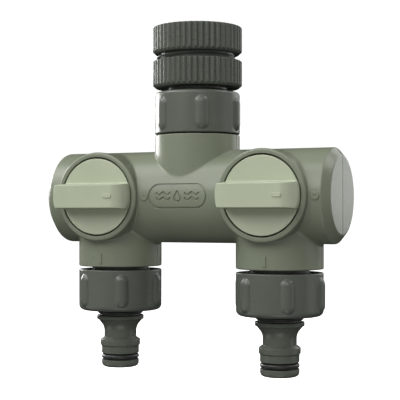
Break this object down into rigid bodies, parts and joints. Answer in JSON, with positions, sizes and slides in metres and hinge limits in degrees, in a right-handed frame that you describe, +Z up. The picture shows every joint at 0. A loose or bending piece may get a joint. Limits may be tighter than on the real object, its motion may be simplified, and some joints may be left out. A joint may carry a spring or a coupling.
{
  "type": "hose splitter",
  "caption": "Tap splitter with a threaded swivel inlet and valved outlets; each outlet ends in a push-on hose plug under a ribbed nut and has a quarter-turn knob.",
  "frame": {"origin": "centre of the mouth of the tap inlet, at the top of the inlet stack", "axes": "+Z up out of the tap inlet, -Y the front with the knobs, +X to the right seen from the front"},
  "size_m": [0.1232, 0.0474, 0.14],
  "materials": {
    "shell": "satin moulded grey green plastic",
    "fitting": "satin moulded dark grey green plastic",
    "nut": "satin moulded dark grey green plastic",
    "collar": "satin moulded dark grey green plastic",
    "knob": "satin moulded light sage green plastic",
    "ball": "smooth off white acetal",
    "washer": "flat grey black rubber",
    "oring": "greased black rubber"
  },
  "bodies": {
    "root": {"front_shell": "shell", "rear_shell": "shell", "inner_manifold": "fitting", "manifold_end_plug": "fitting", "inlet_washer": "washer", "left_seat_ring": "washer", "right_seat_ring": "washer", "left_bonnet": "fitting", "right_bonnet": "fitting", "left_bonnet_oring": "oring", "right_bonnet_oring": "oring"},
    "left_valve": {"left_knob": "knob", "left_ball_stem": "ball", "left_stem_orings": "oring"},
    "right_valve": {"right_knob": "knob", "right_ball_stem": "ball", "right_stem_orings": "oring"},
    "inlet_nut": {"inlet_nut": "nut"},
    "large_adapter_travel": {"reducer_washer": "washer"},
    "large_adapter": {"large_adapter": "collar"},
    "small_adapter_travel": {"tap_washer": "washer"},
    "small_adapter": {"small_adapter": "collar"},
    "left_plug": {"left_plug": "fitting", "left_plug_oring": "oring", "left_outlet_washer": "washer"},
    "left_outlet_nut": {"left_outlet_nut": "nut"},
    "right_plug": {"right_plug": "fitting", "right_plug_oring": "oring", "right_outlet_washer": "washer"},
    "right_outlet_nut": {"right_outlet_nut": "nut"}
  },
  "joints": [
    {"name": "left_valve_turn", "type": "hinge", "parent": "root", "child": "left_valve", "pos_m": [-0.0357, 0, -0.069], "axis": [0, 1, 0], "range_deg": [0, 90]},
    {"name": "right_valve_turn", "type": "hinge", "parent": "root", "child": "right_valve", "pos_m": [0.0357, 0, -0.069], "axis": [0, 1, 0], "range_deg": [0, 90]},
    {"name": "inlet_nut_swivel", "type": "hinge", "parent": "root", "child": "inlet_nut", "pos_m": [0, 0, -0.035], "axis": [0, 0, 1], "continuous": true},
    {"name": "large_adapter_lift", "type": "slide", "parent": "inlet_nut", "child": "large_adapter_travel", "axis": [0, 0, 1], "range_m": [0, 0.0091]},
    {"name": "large_adapter_screw", "type": "hinge", "parent": "large_adapter_travel", "child": "large_adapter", "pos_m": [0, 0, -0.025], "axis": [0, 0, 1], "range_deg": [0, 1800]},
    {"name": "small_adapter_lift", "type": "slide", "parent": "large_adapter", "child": "small_adapter_travel", "axis": [0, 0, 1], "range_m": [0, 0.0093]},
    {"name": "small_adapter_screw", "type": "hinge", "parent": "small_adapter_travel", "child": "small_adapter", "pos_m": [0, 0, -0.012], "axis": [0, 0, 1], "range_deg": [0, 1440]},
    {"name": "left_plug_drop", "type": "slide", "parent": "root", "child": "left_plug", "axis": [0, 0, -1], "range_m": [0, 0.0091]},
    {"name": "left_nut_screw", "type": "hinge", "parent": "left_plug", "child": "left_outlet_nut", "pos_m": [-0.0357, 0, -0.108], "axis": [0, 0, -1], "range_deg": [0, 1800]},
    {"name": "right_plug_drop", "type": "slide", "parent": "root", "child": "right_plug", "axis": [0, 0, -1], "range_m": [0, 0.0091]},
    {"name": "right_nut_screw", "type": "hinge", "parent": "right_plug", "child": "right_outlet_nut", "pos_m": [0.0357, 0, -0.108], "axis": [0, 0, -1], "range_deg": [0, 1800]}
  ],
  "couplings": [
    {"joint": "large_adapter_lift", "follows": "large_adapter_screw", "m_per_rad": 0.00028871},
    {"joint": "small_adapter_lift", "follows": "small_adapter_screw", "m_per_rad": 0.00036749},
    {"joint": "left_plug_drop", "follows": "left_nut_screw", "m_per_rad": 0.00028871},
    {"joint": "right_plug_drop", "follows": "right_nut_screw", "m_per_rad": 0.00028871}
  ]
}
